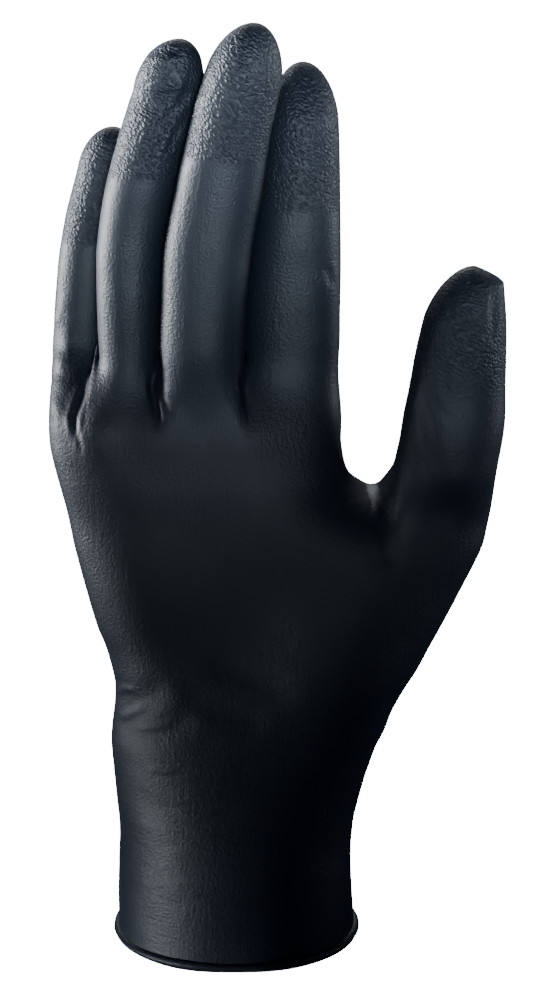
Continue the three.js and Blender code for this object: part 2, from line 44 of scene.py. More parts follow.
# Sizes of the hand in millimetres: the palm faces -Y, the thumb points to +X, the fingers up
hand = {
    "cuffWidth": 61.6, "cuffDepth": 58, "cuffLength": 60, "heelLength": 52, "knuckleLength": 26,
    "palmWidth": 74, "palmDepth": 31, "palmShift": -10,
    "thumbWebRise": 11, "fingerWebRise": 21,
    "stallGap": 0.45, "stallSquare": 2.2, "stallBlend": 1,
    "cornerAngle": math.radians(16),
    "filmStart": 1.2,       # the film begins inside the roll
    "filmThickness": 0.8,
    "rollRadius": 1.2,
}

# Each digit: length above its fork, width and depth, the place of its root across the palm, how far it
# stands forward or behind its neighbour, where its level part begins, how long its tip is and how far that
# leans to the thumb's side; the thumb's tip has a corner on that side
digits = {
    "little": {"length": 73, "width": 14.4, "depth": 14, "root": -0.4, "behind": "ring", "setBack": 7,
               "rootRun": 0.27, "tipRun": 0.64, "tipLean": 0},
    "ring": {"length": 97, "width": 17, "depth": 16, "root": -0.22, "behind": "middle", "setBack": 4,
             "rootRun": 0.17, "tipRun": 0.66, "tipLean": 0.1},
    "middle": {"length": 101.5, "width": 22, "depth": 17, "root": 0.022, "forth": -0.21,
               "rootRun": 0.2, "tipRun": 0.68, "tipLean": 0.08},
    "index": {"length": 90.4, "width": 22.6, "depth": 17, "root": 0.324, "behind": "middle", "setBack": 4,
              "rootRun": 0.22, "tipRun": 0.64, "tipLean": 0},
    "thumb": {"length": 68, "width": 25, "depth": 21, "root": 0.824, "forth": -0.21,
              "rootRun": 0.25, "tipRun": 0.57, "tipLean": 0.2, "cornerRun": 0.17, "cornerBend": 1.5},
}
fingerNames = ["little", "ring", "middle", "index"]
partNumber = {"palm": 0, "thumb": 1, "little": 2, "ring": 3, "middle": 4, "index": 5}

# Webs between the fingers, across the palm: on the palm side, at the top and on the back
fingerWebs = {
    "front": [-0.378, -0.126, 0.181],
    "top": [-0.324, -0.111, 0.168],
    "back": [-0.318, -0.108, 0.165],
}
thumbWeb = 0.601

# How the film leaves a web: sideways in millimetres, its shares of the way forward and up into the stall,
# and the lift along the arch from which a column counts as wholly the web's
webLeave = {"sideways": 1.6, "forward": 0.4, "upward": 0.3, "whole": 0.8}

# Level sections: share of the stretch's length, left, right, front, back, and squareness of the outline
cuffSections = np.array([
    (0.03, -0.505, 0.495, -0.5, 0.5, 2.1),
    (0.13, -0.505, 0.49, -0.495, 0.495, 2.1),
    (0.32, -0.5, 0.483, -0.48, 0.48, 2.1),
    (0.5, -0.495, 0.488, -0.46, 0.455, 2.1),
    (0.68, -0.51, 0.526, -0.435, 0.42, 2.15),
    (0.87, -0.525, 0.58, -0.41, 0.38, 2.2),
    (0.96, -0.52, 0.62, -0.4, 0.365, 2.25),
])
heelSections = np.array([
    (0.06, -0.288, 0.678, -0.73, 0.67, 2.3),
    (0.17, -0.284, 0.719, -0.71, 0.65, 2.35),
    (0.27, -0.296, 0.763, -0.69, 0.62, 2.4),
    (0.38, -0.316, 0.804, -0.67, 0.59, 2.4),
    (0.48, -0.343, 0.842, -0.65, 0.56, 2.4),
    (0.69, -0.385, 0.915, -0.62, 0.52, 2.5),
    (0.88, -0.418, 0.978, -0.58, 0.49, 2.65),
    (1, -0.434, 0.997, -0.55, 0.47, 2.75),
])
palmSections = np.array([
    (0.5, -0.476, 0.515, -0.5, 0.43, 2.6),
    (0.75, -0.495, 0.495, -0.475, 0.41, 2.6),
    (1, -0.5, 0.495, -0.455, 0.4, 2.6),
])

# Stalls: share of the length, sideways and forward shift as shares of it, width and depth
stallSections = {
    "little": np.array([
        (0.27, 0.008, 0, 1, 1), (0.4, 0.018, 0, 0.99, 0.99), (0.55, 0.033, 0, 0.98, 0.97),
        (0.7, 0.06, 0, 0.97, 0.95), (0.85, 0.098, 0, 0.95, 0.92), (1, 0.128, 0, 0.92, 0.9),
    ]),
    "ring": np.array([
        (0.2, 0, 0, 0.92, 1), (0.43, 0.004, 0, 0.99, 1), (0.52, 0.015, 0, 1, 0.98),
        (0.61, 0.032, 0, 1.02, 0.97), (0.7, 0.055, 0, 1.02, 0.95), (0.79, 0.08, 0, 1.01, 0.93),
        (0.87, 0.104, 0, 0.99, 0.9), (1, 0.126, 0, 0.95, 0.86),
    ]),
    "middle": np.array([
        (0.2, 0.002, -0.015, 0.97, 1), (0.31, 0.007, -0.02, 0.97, 1), (0.43, 0.016, -0.026, 1, 0.98),
        (0.51, 0.028, -0.03, 1, 0.97), (0.59, 0.044, -0.035, 0.985, 0.96), (0.66, 0.057, -0.04, 0.955, 0.95),
        (0.73, 0.071, -0.045, 0.92, 0.94), (0.8, 0.086, -0.05, 0.905, 0.92),
        (0.86, 0.101, -0.055, 0.88, 0.9), (1, 0.123, -0.065, 0.84, 0.87),
    ]),
    "index": np.array([
        (0.22, -0.001, 0, 1.1, 1), (0.32, 0.001, 0, 1.07, 1), (0.45, 0.008, 0, 1.02, 0.98),
        (0.56, 0.016, 0, 0.95, 0.97), (0.66, 0.023, 0, 0.88, 0.95), (0.76, 0.028, 0, 0.82, 0.93),
        (0.86, 0.033, 0, 0.75, 0.9), (1, 0.03, 0, 0.71, 0.86),
    ]),
    "thumb": np.array([
        (0.25, 0.022, -0.03, 1.05, 1), (0.36, 0.042, -0.045, 1.03, 0.96), (0.51, 0.056, -0.06, 1.04, 0.92),
        (0.66, 0.067, -0.07, 0.92, 0.88), (0.8, 0.08, -0.08, 0.82, 0.84), (0.9, 0.087, -0.085, 0.74, 0.78),
        (1, 0.092, -0.09, 0.66, 0.72),
    ]),
}

forkHeight = hand["cuffLength"] + hand["heelLength"]
fingerForkHeight = forkHeight + hand["knuckleLength"]

# Two grids of the same surface: the fine one is the outer face, the coarse one the hidden inner face. Each has
# the columns across a finger's front, back and side and across the thumb's, the rows' spacing in millimetres,
# the rows of a tip, and the rounds of smoothing at the forks
fineGrid = {"front": 24, "back": 18, "side": 16, "thumbFront": 26, "thumbBack": 20, "rowStep": 0.82,
            "tipRows": 22, "softRounds": 100}
coarseGrid = {"front": 12, "back": 9, "side": 8, "thumbFront": 13, "thumbBack": 10, "rowStep": 2.4,
              "tipRows": 8, "softRounds": 16}

# Shares of the way round a tube that its stretches take: a finger's front or back, the thumb's, and a side
roundShare = {"face": 4, "thumbFace": 5, "side": 3}

# Smoothing where the tubes fork: share moved each round, and its reach round the thumb's and fingers' forks
soft = {"share": 0.5, "thumbHeight": 10, "thumbWidth": 13, "fingerHeight": 7}


# Cubic from start to end with given slopes at both, t from 0 to 1
def hermite(start, startSlope, end, endSlope, t):
    return (start * (2 * t ** 3 - 3 * t ** 2 + 1) + startSlope * (t ** 3 - 2 * t ** 2 + t)
            + end * (3 * t ** 2 - 2 * t ** 3) + endSlope * (t ** 3 - t ** 2))


def smoothStep(low, high, values):
    t = np.clip((values - low) / (high - low), 0, 1)
    return t * t * (3 - 2 * t)


# Smooth curve through a table's rows: between two rows a cubic whose slope at each row is that of the line
# through its two neighbours
def tableAt(rows, at):
    last = len(rows) - 1
    i = np.clip(np.searchsorted(rows[:, 0], at, side="right"), 1, last)
    a, b = rows[i - 1], rows[i]
    before, after = rows[np.maximum(i - 2, 0)], rows[np.minimum(i + 1, last)]
    span = b[:, :1] - a[:, :1]
    t = np.clip((at[:, None] - a[:, :1]) / span, 0, 1)
    startSlope = (b - before) / (b[:, :1] - before[:, :1]) * span
    endSlope = (after - a) / (after[:, :1] - a[:, :1]) * span
    return hermite(a, startSlope, b, endSlope, t)[:, 1:]


# A table's shares turned into millimetres, from a base height and a shift sideways
def placedSections(rows, base, length, width, depth, shift):
    scale = np.array([length, width, width, depth, depth, 1])
    return rows * scale + np.array([base, shift, shift, 0, 0, 0])


trunkTable = np.concatenate([
    placedSections(cuffSections, 0, hand["cuffLength"], hand["cuffWidth"], hand["cuffDepth"], 0),
    placedSections(heelSections, hand["cuffLength"], hand["heelLength"], hand["palmWidth"],
                   hand["palmDepth"], hand["palmShift"]),
])
palmTable = placedSections(palmSections, forkHeight, hand["knuckleLength"], hand["palmWidth"],
                           hand["palmDepth"], hand["palmShift"])


# Rounded outline: x runs between left and right with cos(angle) to the power 2 / square, y between front and
# back with sin(angle) likewise, so that angle 0 is the right side and it grows through the back
def outlineAt(section, heights, angles):
    left, right, front, back, square = (section[:, k, None] for k in range(5))

    def reach(share):
        return (1 + np.sign(share) * np.abs(share) ** (2 / square)) / 2

    x = left + (right - left) * reach(np.cos(angles))
    y = front + (back - front) * reach(np.sin(angles))
    return np.stack([x, y, np.broadcast_to(heights[:, None], x.shape)], axis=-1)


# The angle at which an outline stands at a given x
def angleAtX(section, x):
    u = (2 * x - section[:, 0] - section[:, 1]) / (section[:, 1] - section[:, 0])
    return np.arccos(np.sign(u) * np.abs(u) ** (section[:, 4] / 2))


# Even steps from each end to the next, leaving out the last end
def spread(ends, steps):
    parts = [a[:, None] + (b - a)[:, None] * np.arange(count) / count
             for a, b, count in zip(ends, ends[1:], steps)]
    return np.concatenate(parts, axis=1)


# Angles round a section: its front with a column at each web, the right side, the back, the left side
def forkAngles(section, frontX, backX, steps):
    corner = np.full(len(section), hand["cornerAngle"])
    front = [-angleAtX(section, x) for x in frontX]
    back = [angleAtX(section, x) for x in reversed(backX)]
    return spread([corner - np.pi, *front, -corner, corner, *back, np.pi - corner, np.pi + corner], steps)


def acrossPalm(share):
    return hand["palmShift"] + share * hand["palmWidth"]


thumbWebX = acrossPalm(thumbWeb)
webX = {side: [acrossPalm(share) for share in shares] for side, shares in fingerWebs.items()}


def forkOf(name):
    return forkHeight if name == "thumb" else fingerForkHeight


# Middle and half sizes of a stall at each height. A finger behind another keeps clear of it: their middles
# lie outside the outline of their summed half sizes, or by setBack, turning softly from one to the other
def stallAxis(name, heights):
    digit = digits[name]
    across, forward, width, depth = tableAt(stallSections[name], (heights - forkOf(name)) / digit["length"]).T
    x = acrossPalm(digit["root"]) + across * digit["length"]
    halfWidth, halfDepth = width * digit["width"] / 2, depth * digit["depth"] / 2
    if "behind" not in digit:
        y = digit["forth"] * hand["palmDepth"] + forward * digit["length"]
        return x, y, halfWidth, halfDepth
    frontX, frontY, frontWidth, frontDepth = stallAxis(digit["behind"], heights)
    square = hand["stallSquare"]
    beside = np.minimum(np.abs(x - frontX) / (halfWidth + frontWidth + hand["stallGap"]), 1) ** square
    clear = (halfDepth + frontDepth + hand["stallGap"]) * (1 - beside) ** (1 / square)
    y = frontY + (digit["setBack"] + clear + np.hypot(digit["setBack"] - clear, hand["stallBlend"])) / 2
    return x, y, halfWidth, halfDepth


# Closed end: the half sizes shrink by the root of 1 - closed squared over the tip's length, towards a point
# that leans aside; a corner shrinks by 1 - closed to a power over its own shorter length
def stallSection(name, heights):
    digit, lean = digits[name], digits[name]["tipLean"]
    x, y, halfWidth, halfDepth = stallAxis(name, heights)

    def closedOver(share):
        run = share * digit["width"]
        return np.clip((heights - forkOf(name) - digit["length"] + run) / run, 0, 1)

    opened = np.sqrt(1 - closedOver(digit["tipRun"]) ** 2)
    openedRight = opened
    if "cornerRun" in digit:
        openedRight = 1 - closedOver(digit["cornerRun"]) ** digit["cornerBend"]
    left = x + halfWidth * (lean - (1 + lean) * opened)
    right = x + halfWidth * (lean + (1 - lean) * openedRight)
    square = np.full_like(x, hand["stallSquare"])
    return np.stack([left, right, y - halfDepth * opened, y + halfDepth * opened, square], axis=1)


# The growing surface: blocks of points with the number of the part that each belongs to, and its cells
def newSkin():
    return {"points": [], "part": [], "quads": [], "tips": [], "count": 0}


def addPoints(skin, block, part):
    block = block.reshape(-1, 3)
    skin["points"].append(block)
    skin["part"].append(np.full(len(block), partNumber[part]))
    first = skin["count"]
    skin["count"] += len(block)
    return np.arange(first, skin["count"])


# Cells between neighbouring loops of point numbers, closed round the tube
def addCells(skin, loops):
    low, high = loops[:-1], loops[1:]
    cells = np.stack([low, np.roll(low, -1, 1), np.roll(high, -1, 1), high], axis=-1)
    skin["quads"].append(cells.reshape(-1, 4))


# A border holds, for each of its points, the number, the place, the slope of the film that arrives there
# and how much it belongs to a web
def cut(border, start, stop):
    return {key: values[start:stop] for key, values in border.items()}


def turned(border):
    return {key: values[::-1] for key, values in border.items()}


def joined(*borders):
    return {key: np.concatenate([border[key] for border in borders]) for key in borders[0]}


# Arch over a web from the palm side to the back: half a turn in y, raised and moved sideways by its sine
def webArch(skin, border, front, back, topX, rise, steps):
    angle = np.pi * np.arange(1, steps) / steps
    share, lift = (1 - np.cos(angle))[:, None] / 2, np.sin(angle)
    start, end = border["place"][front], border["place"][back]
    place = start + (end - start) * share
    place[:, 0] += (topX - (start[0] + end[0]) / 2) * lift
    place[:, 2] += rise * lift
    slope = border["slope"][front] + (border["slope"][back] - border["slope"][front]) * share
    return {"index": addPoints(skin, place, "palm"), "place": place, "slope": slope,
            "web": smoothStep(0, webLeave["whole"], lift)}


# The film from a forked border into the first level ring: a cubic along each column, whose web columns
# leave sideways into their own tube while the others go on as the film below them
def rootLoops(border, ring, ringSlope, rows):
    start, web = border["place"], border["web"][:, None]
    rise = (ring[:, 2] - start[:, 2])[:, None]
    side = np.sign(ring[:, 0].mean() - start[:, 0]) * webLeave["sideways"]
    forward = (ring[:, 1] - start[:, 1]) * webLeave["forward"]
    fromWeb = np.stack([side, forward, rise[:, 0] * webLeave["upward"]], axis=1)
    leave = border["slope"] * rise * (1 - web) + fromWeb * web
    t = (np.arange(1, rows) / rows)[:, None, None]
    return hermite(start, leave, ring, ringSlope * rise, t)


# One stall from its forked border to its closed tip: the root's cubics, then the stall's level outlines at
# even heights, then at heights that near the tip as the sine of a quarter turn
def addStall(skin, name, border, front, back, grid):
    digit, base = digits[name], forkOf(name)
    faceShare, sideShare = roundShare["thumbFace" if name == "thumb" else "face"], roundShare["side"]
    around = np.pi / (faceShare + sideShare)
    first = -np.pi + sideShare * around / 2
    ends = first + around * np.cumsum([0, faceShare, sideShare, faceShare, sideShare])
    angles = spread(ends[:, None], [front, grid["side"], back, grid["side"]])

    def loopsAt(heights):
        return outlineAt(stallSection(name, heights), heights, angles)

    ringHeight = base + digit["rootRun"] * digit["length"]
    tip = base + digit["length"]
    domeStart = tip - digit["tipRun"] * digit["width"]
    ring, above = loopsAt(np.array([ringHeight, ringHeight + 1]))
    rootRows = round((ringHeight - base) / grid["rowStep"])
    levelRows = round((domeStart - ringHeight) / grid["rowStep"])
    level = ringHeight + (domeStart - ringHeight) * np.arange(levelRows) / levelRows
    dome = domeStart + (tip - domeStart) * np.sin(np.pi / 2 * np.arange(grid["tipRows"]) / grid["tipRows"])
    loops = np.concatenate([rootLoops(border, ring, above - ring, rootRows),
                            loopsAt(np.concatenate([level, dome]))])
    numbers = addPoints(skin, loops, name).reshape(len(loops), -1)
    numbers = np.concatenate([border["index"][None], numbers])
    addCells(skin, numbers)
    end = addPoints(skin, loopsAt(np.array([tip]))[0, :1], name)[0]
    top = numbers[-1]
    skin["tips"].append(np.stack([top, np.roll(top, -1), np.full_like(top, end)], axis=1))


# The whole outer face of the glove as one surface: the trunk is level outlines carried up its table, and the
# thumb, the upper palm and the fingers grow from the borders at its forks
def makeSkin(grid):
    skin = newSkin()
    front, back, side = grid["front"], grid["back"], grid["side"]
    thumbFront, thumbBack = grid["thumbFront"], grid["thumbBack"]
    fingers = len(fingerNames)
    steps = [front] * fingers + [thumbFront, side, thumbBack] + [back] * fingers + [side]

    # Trunk: the columns stand evenly round the cuff and turn towards the webs as they rise
    rows = round((forkHeight - hand["filmStart"]) / grid["rowStep"])
    heights = np.linspace(hand["filmStart"], forkHeight, rows + 1)
    sections = tableAt(trunkTable, heights)
    topAngles = forkAngles(sections[-1:], webX["front"] + [thumbWebX], webX["back"] + [thumbWebX], steps)
    face, thumbFace, sideShare = roundShare["face"], roundShare["thumbFace"], roundShare["side"]
    faces = [face] * fingers
    shares = np.array([0, *faces, thumbFace, sideShare, thumbFace, *faces, sideShare])
    around = 2 * np.pi / shares.sum()
    evenEnds = -np.pi + sideShare / 2 * around + around * np.cumsum(shares)
    even = spread(evenEnds[:, None], steps)
    turn = smoothStep(0, forkHeight, heights)[:, None]
    trunk = outlineAt(sections, heights, even + (topAngles - even) * turn)
    numbers = addPoints(skin, trunk, "palm").reshape(len(heights), -1)
    addCells(skin, numbers)
    skin["mouth"] = numbers[0]

    def borderOf(loops, numbers):
        slope = (loops[-1] - loops[-2]) / (loops[-1] - loops[-2])[:, 2:]
        return {"index": numbers[-1], "place": loops[-1], "slope": slope, "web": np.zeros(len(slope))}

    top = borderOf(trunk, numbers)
    frontWeb = fingers * front
    backWeb = frontWeb + thumbFront + side + thumbBack
    arch = webArch(skin, top, frontWeb, backWeb, thumbWebX, hand["thumbWebRise"], side)
    thumbBorder = joined(cut(top, frontWeb, backWeb + 1), turned(arch))
    addStall(skin, "thumb", thumbBorder, thumbFront, thumbBack, grid)

    # Upper palm, up to the forks of the fingers
    palmBorder = joined(cut(top, 0, frontWeb + 1), arch, cut(top, backWeb, None))
    palmSteps = [front] * fingers + [side] + [back] * fingers + [side]

    def palmLoops(heights):
        sections = tableAt(palmTable, heights)
        return outlineAt(sections, heights, forkAngles(sections, webX["front"], webX["back"], palmSteps))

    palmStart = palmTable[0, 0]
    ring, above = palmLoops(np.array([palmStart, palmStart + 1]))
    rootRows = round((palmStart - forkHeight) / grid["rowStep"])
    levelRows = round((fingerForkHeight - palmStart) / grid["rowStep"])
    level = palmLoops(np.linspace(palmStart, fingerForkHeight, levelRows + 1))
    loops = np.concatenate([rootLoops(palmBorder, ring, above - ring, rootRows), level])
    numbers = addPoints(skin, loops, "palm").reshape(len(loops), -1)
    addCells(skin, np.concatenate([palmBorder["index"][None], numbers]))

    # Fingers, from the little finger to the index finger
    knuckles = borderOf(loops, numbers)
    last = fingers * front + side + fingers * back
    arches = [webArch(skin, knuckles, (i + 1) * front, last - (i + 1) * back, topX,
                      hand["fingerWebRise"], side) for i, topX in enumerate(webX["top"])]
    outside = cut(knuckles, fingers * front + 1, fingers * front + side)
    for i, name in enumerate(fingerNames):
        rightSide = arches[i] if i < len(arches) else outside
        leftSide = turned(arches[i - 1]) if i > 0 else cut(knuckles, last + 1, None)
        border = joined(cut(knuckles, i * front, (i + 1) * front + 1), rightSide,
                        cut(knuckles, last - (i + 1) * back, last - i * back + 1), leftSide)
        addStall(skin, name, border, front, back, grid)
    for key in ("points", "part", "quads", "tips"):
        skin[key] = np.concatenate(skin[key])
    return skin


def triangles(skin):
    quads = skin["quads"]
    return np.concatenate([quads[:, [0, 1, 2]], quads[:, [0, 2, 3]], skin["tips"]])


tiny = 1e-12    # keeps a length of zero from being divided by


# A point's normal is the sum of the cross products of the triangles round it, made one long
def pointNormals(points, faces):
    a, b, c = (points[faces[:, k]] for k in range(3))
    cross = np.cross(b - a, c - a)
    corners = faces.T.ravel()
    total = np.stack([np.bincount(corners, np.tile(cross[:, k], 3), len(points)) for k in range(3)], axis=1)
    return total / np.maximum(np.linalg.norm(total, axis=1), tiny)[:, None]


# Each point near a fork moves towards the mean of its neighbours, a few rounds over
def softenForks(skin, rounds):
    points, quads, tips = skin["points"], skin["quads"], skin["tips"]
    pairs = np.concatenate([np.stack([cells, np.roll(cells, -1, 1)], axis=-1).reshape(-1, 2)
                            for cells in (quads, tips)])
    pairs = np.unique(np.sort(pairs, axis=1), axis=0)
    one, other = pairs[:, 0], pairs[:, 1]
    count = np.bincount(pairs.ravel(), minlength=len(points))[:, None]
    for _ in range(rounds):
        total = np.stack([np.bincount(one, points[other, k], len(points))
                          + np.bincount(other, points[one, k], len(points)) for k in range(3)], axis=1)
        byThumb = np.exp(-((points[:, 2] - forkHeight - hand["thumbWebRise"] / 2) / soft["thumbHeight"]) ** 2
                         - ((points[:, 0] - thumbWebX) / soft["thumbWidth"]) ** 2)
        byFingers = np.exp(-((points[:, 2] - fingerForkHeight - hand["fingerWebRise"] / 2)
                             / soft["fingerHeight"]) ** 2)
        points = points + (total / count - points) * soft["share"] * np.maximum(byThumb, byFingers)[:, None]
    skin["points"] = points


# Soft swells and hollows in millimetres: side, middle x and z, half width, half height and rise
swells = [
    ("palm", 28.5, 82.8, 17.8, 27.6, 5.0),
    ("palm", -27.8, 91.1, 13.3, 24.8, 1.9),
    ("palm", -5.6, 99.4, 16.3, 22.1, -1.9),
    ("palm", -35.2, 135.9, 5.2, 6.9, 1.0),
    ("palm", -18.1, 135.9, 5.9, 6.9, 0.9),
    ("palm", 2.6, 135.9, 6.7, 6.9, 0.7),
    ("back", -38.1, 129.7, 5.9, 9.7, 0.6),
    ("back", -24.1, 132.5, 5.9, 9.7, 0.9),
    ("back", -7, 133.9, 6.7, 9.7, 1.1),
    ("back", 13.7, 131.1, 7.4, 9.7, 0.9),
]

# Folds in millimetres: side, points x and z along the fold, half width, and depth, below 0 for a ridge
folds = [
    # broad soft folds of the wrist
    ("palm", [(-32.2, 58), (-20.4, 71.8)], 2.6, 0.3),
    ("palm", [(-26.3, 59.3), (-13.7, 64.2)], 2.6, 0.25),
    ("palm", [(-2.6, 79.4), (10, 73.8)], 3.3, 0.25),
    ("palm", [(-10, 70.4), (3.3, 66.2)], 3, 0.2),
    ("palm", [(-22.6, 41.4), (-2.6, 42.1)], 3, 0.2),
    ("palm", [(35.9, 128.3), (37.4, 107.6)], 2.6, 0.7),
    ("palm", [(44.8, 140.8), (52.2, 118.7)], 3, 0.6),
    ("back", [(-30.7, 60.7), (-13.7, 64.9)], 3.7, 0.9),
    ("back", [(-2.6, 69), (15.2, 63.5)], 3.7, 0.9),
    ("back", [(27, 124.2), (28.5, 104.9)], 3, 0.9),
    # creases below the forks of the fingers
    ("palm", [(-36.5, 149), (-38.5, 145), (-40, 141), (-39.3, 135)], 0.8, 0.8),
    ("palm", [(-39, 138), (-37.8, 132)], 0.6, 0.25),
    ("palm", [(-20.5, 153), (-20.5, 148), (-19.5, 144), (-18.8, 140)], 0.8, 1.1),
    ("palm", [(-18.8, 150), (-17.3, 146), (-16, 142)], 0.6, 0.35),
    ("palm", [(1, 153), (2.2, 148), (3.3, 143.5)], 0.8, 0.9),
    # wrist
    ("palm", [(-31, 67), (-28, 70.6), (-24, 71.5)], 0.8, -0.35),
    ("palm", [(-31, 61), (-27, 64), (-24, 66.4), (-21, 68)], 0.8, -0.4),
    ("palm", [(-26, 60.5), (-20, 62.5), (-15, 63.6)], 0.8, -0.3),
    ("palm", [(-23, 51), (-18, 51.6), (-14, 52)], 0.7, -0.3),
    ("palm", [(-17, 41), (-10, 40.4), (-4, 42)], 0.8, -0.15),
    ("palm", [(1, 72), (8, 74), (16, 75.5)], 0.9, -0.15),
    # thumb's web and its gathers
    ("palm", [(44, 147), (46, 138), (49, 129), (52, 120)], 0.7, -0.3),
    ("palm", [(47.4, 148), (50, 139), (53, 131)], 0.6, -0.15),
    ("palm", [(42, 135), (42.6, 128), (43, 121)], 0.6, 0.25),
    ("palm", [(39, 125), (39.3, 118), (39, 112)], 0.6, 0.3),
    ("palm", [(36, 120), (36.8, 114), (37, 108)], 0.6, 0.3),
    ("palm", [(34.5, 122), (34.2, 119), (34, 116)], 0.6, 0.35),
    ("palm", [(48, 150), (51, 145), (54, 141)], 0.7, 0.2),
    ("palm", [(47, 151), (49, 147), (50, 144)], 0.7, 0.2),
    # thumb's end
    ("palm", [(51, 165.4), (55, 166.4), (58, 167.4), (61, 167.6)], 0.8, 0.8),
    ("palm", [(62, 175), (63, 173), (63, 168), (62.5, 162)], 0.9, 0.6),
    ("palm", [(60, 166), (62, 164)], 0.8, 0.4),
    ("palm", [(49, 161), (51, 156), (52, 148)], 0.8, 0.3),
    # ring finger's end
    ("palm", [(-21, 231.4), (-16, 232.6), (-12, 232.2)], 0.8, 0.6),
    ("palm", [(-9, 226), (-13, 220), (-18, 214), (-22, 204)], 1.2, 0.5),
    ("palm", [(-10, 219), (-14, 213), (-17, 206)], 0.9, 0.35),
    ("palm", [(-11, 231), (-13, 224), (-14, 217)], 0.9, -0.3),
    # index and little fingers
    ("palm", [(22, 180), (23.4, 176), (24, 173)], 0.9, 0.35),
    ("palm", [(-45, 165), (-42, 164)], 0.8, 0.15),
    ("palm", [(-46, 140), (-46, 138)], 0.8, 0.4),
]

# A fold's two lips: their height as a share of its depth, and how many half widths out they lie; the share of
# its length over which a narrow fold fades at each end, begun a little outside, and where broad folds begin
foldShape = {"lip": 0.3, "lipAt": 2.1, "fade": 0.3, "fadeFrom": -0.02, "broadFrom": 2}

# Waves of the slack film: size of one wave, height, the middle and reach of the stretch, and a seed
waves = [
    {"cell": (8, 8, 1.7), "height": 0.12, "middle": (-16, -22, 24), "reach": (24, 22, 24), "seed": 3},
    {"cell": (12, 12, 4), "height": 0.12, "middle": (0, 0, 36), "reach": (60, 60, 30), "seed": 4},
    {"cell": (3, 4, 3.4), "height": 0.42, "middle": (-45, -3, 156), "reach": (8, 12, 18), "seed": 5},
    {"cell": (4, 4, 3), "height": 0.22, "middle": (-16, -10, 222), "reach": (12, 12, 16), "seed": 6},
    {"cell": (16, 16, 16), "height": 0.2, "middle": (0, 0, 110), "reach": (90, 60, 110), "seed": 7},
]


# Distance from a bent line of points in the x-z plane, and the share of the line's length passed there
def lineDistance(x, z, line):
    line = np.array(line, float)
    lengths = np.linalg.norm(np.diff(line, axis=0), axis=1)
    nearest, share = np.full(len(x), np.inf), np.zeros(len(x))
    passed = 0
    for (startX, startZ), (endX, endZ), length in zip(line, line[1:], lengths):
        t = ((x - startX) * (endX - startX) + (z - startZ) * (endZ - startZ)) / length ** 2
        t = np.clip(t, 0, 1)
        away = np.hypot(x - startX - t * (endX - startX), z - startZ - t * (endZ - startZ))
        share = np.where(away < nearest, (passed + t * length) / lengths.sum(), share)
        nearest = np.minimum(nearest, away)
        passed += length
    return nearest, share


# Random values at the corners of a grid of cells, blended across each cell by 3t^2 - 2t^3, from -1 to 1
def softNoise(points, cell, seed):
    size = 32
    values = np.random.default_rng(seed).random((size, size, size)) * 2 - 1
    scaled = points / np.array(cell, float)
    base = np.floor(scaled).astype(int)
    t = scaled - base
    t = t * t * (3 - 2 * t)
    total = np.zeros(len(points))
    for corner in np.ndindex(2, 2, 2):
        weight = np.prod(np.where(np.array(corner) == 1, t, 1 - t), axis=1)
        i, j, k = ((base + np.array(corner)) % size).T
        total += weight * values[i, j, k]
    return total


# Round bell over a stretch: e to the minus square of the distance from its middle, in units of its reach
def bell(points, stretch):
    away = (points - np.array(stretch["middle"])) / np.array(stretch["reach"])
    return np.exp(-(away ** 2).sum(axis=1))


# Height of the relief along the normal: swells as bells, folds as troughs with soft lips, waves as noise
def reliefOf(points, normals):
    x, _, z = points.T
    rise = np.zeros(len(points))
    facing = {"palm": np.clip(-normals[:, 1], 0, 1), "back": np.clip(normals[:, 1], 0, 1)}
    for side, middleX, middleZ, wide, tall, height in swells:
        rise += height * facing[side] * np.exp(-((x - middleX) / wide) ** 2 - ((z - middleZ) / tall) ** 2)
    for side, line, half, deep in folds:
        away, share = lineDistance(x, z, line)
        ends = np.stack([share, 1 - share])
        fade = smoothStep(foldShape["fadeFrom"], foldShape["fade"], ends).prod(axis=0)
        lip = foldShape["lip"] * np.exp(-((away - foldShape["lipAt"] * half) / half) ** 2)
        profile = np.exp(-(away / half) ** 2) - lip
        rise -= deep * np.sqrt(facing[side]) * profile * (fade if half < foldShape["broadFrom"] else 1)
    for wave in waves:
        rise += wave["height"] * bell(points, wave) * softNoise(points, wave["cell"], wave["seed"])
    return rise


def makeFace(grid):
    skin = makeSkin(grid)
    softenForks(skin, grid["softRounds"])
    faces = triangles(skin)
    normals = pointNormals(skin["points"], faces)
    skin["points"] = skin["points"] + normals * reliefOf(skin["points"], normals)[:, None]
    skin["normals"] = pointNormals(skin["points"], faces)
    return skin


# Gripping texture: the height above which each digit has it, the width of its edge, and how far and in what
# cells that edge wavers, all in millimetres
grip = {"little": 182, "ring": 201, "middle": 207, "index": 193, "thumb": 152, "edge": 1.2, "thumbEdge": 9,
        "waver": 0.8, "waverCell": (6, 6, 6), "seed": 11}


def gripMask(skin):
    mask = np.zeros(len(skin["points"]))
    z = skin["points"][:, 2] + grip["waver"] * softNoise(skin["points"], grip["waverCell"], grip["seed"])
    for name in digits:
        edge = grip["thumbEdge"] if name == "thumb" else grip["edge"]
        mask += (skin["part"] == partNumber[name]) * smoothStep(grip[name] - edge, grip[name] + edge, z)
    return mask


# Where the film is slack and lies in fine level creases: a bell over the cuff's left side
slack = {"middle": (-20, -22, 22), "reach": (24, 26, 26)}


